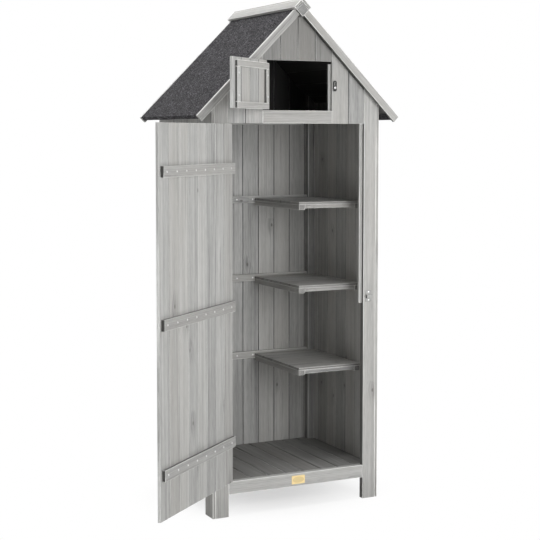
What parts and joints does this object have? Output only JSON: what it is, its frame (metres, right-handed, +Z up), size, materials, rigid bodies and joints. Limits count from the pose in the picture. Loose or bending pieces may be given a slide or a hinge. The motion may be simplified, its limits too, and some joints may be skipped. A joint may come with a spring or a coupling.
{
  "type": "garden shed",
  "caption": "Tall narrow garden shed of grey softwood boards with a steep felt roof, a hinged door, a loft hatch, shelves on one side and a plank floor on feet.",
  "frame": {"origin": "on the ground, at the middle of the shed's plan between the front and back faces", "axes": "+X to the right of the front, +Y from the front to the back, +Z up; the front faces -Y"},
  "size_m": [1.0571, 0.8805, 1.79],
  "materials": {
    "grey_wood": "grey stained softwood, planed",
    "felt": "mineral-faced roofing felt",
    "zinc_steel": "zinc plated",
    "dark_steel": "dark coated steel",
    "brass": "satin"
  },
  "bodies": {
    "shed": {"back_wall_battens": "grey_wood", "back_wall_boards": "grey_wood", "bargeboard_front_left": "grey_wood", "bargeboard_front_right": "grey_wood", "bargeboard_rear_left": "grey_wood", "bargeboard_rear_right": "grey_wood", "batten_screws": "zinc_steel", "bolt_keeper": "zinc_steel", "corner_board_left": "grey_wood", "corner_board_right": "grey_wood", "door_stop": "grey_wood", "floor_bearers_cross": "grey_wood", "floor_bearers_side": "grey_wood", "floor_boards": "grey_wood", "frame_hinge_leaves": "zinc_steel", "frame_screws": "zinc_steel", "front_post_left": "grey_wood", "front_post_right": "grey_wood", "front_sill": "grey_wood", "gable_boards_left": "grey_wood", "gable_boards_right": "grey_wood", "gable_boards_top": "grey_wood", "hatch_stop": "grey_wood", "hinge_pins": "zinc_steel", "left_wall_battens": "grey_wood", "left_wall_boards": "grey_wood", "loft_bearers": "grey_wood", "loft_floor_boards": "grey_wood", "loft_sill_board": "grey_wood", "name_plate": "brass", "rear_post_left": "grey_wood", "rear_post_right": "grey_wood", "ridge_beam": "grey_wood", "ridge_cap_left": "grey_wood", "ridge_cap_right": "grey_wood", "right_wall_boards": "grey_wood", "roof_deck_left": "grey_wood", "roof_deck_right": "grey_wood", "roof_felt_left": "felt", "roof_felt_right": "felt", "shelf_boards_low": "grey_wood", "shelf_boards_middle": "grey_wood", "shelf_boards_top": "grey_wood", "shelf_frame_low": "grey_wood", "shelf_frame_middle": "grey_wood", "shelf_frame_top": "grey_wood", "turn_button_screw": "zinc_steel"},
    "door": {"door_boards": "grey_wood", "door_ledges": "grey_wood", "door_ledge_screws": "zinc_steel", "door_hinge_leaves": "zinc_steel", "door_screws": "zinc_steel", "bolt_plate": "zinc_steel"},
    "bolt": {"bolt_rod": "zinc_steel"},
    "hatch": {"hatch_boards": "grey_wood", "hatch_frame": "grey_wood", "hatch_hinge_leaves": "zinc_steel", "hatch_screws": "zinc_steel"},
    "button": {"turn_button": "dark_steel"}
  },
  "joints": [
    {"name": "door_swing", "type": "hinge", "parent": "shed", "child": "door", "pos_m": [-0.265, -0.2514, 0.741], "axis": [0, 0, -1], "range_deg": [-139.6, 40.4]},
    {"name": "bolt_slide", "type": "slide", "parent": "door", "child": "bolt", "axis": [-0.7615, -0.6481, 0], "range_m": [0, 0.043]},
    {"name": "hatch_swing", "type": "hinge", "parent": "shed", "child": "hatch", "pos_m": [-0.13405, -0.2514, 1.491], "axis": [0, 0, -1], "range_deg": [-141, 5]},
    {"name": "button_turn", "type": "hinge", "parent": "shed", "child": "button", "pos_m": [0.1447, -0.25175, 1.4857], "axis": [0, 1, 0], "range_deg": [-90, 90]}
  ]
}
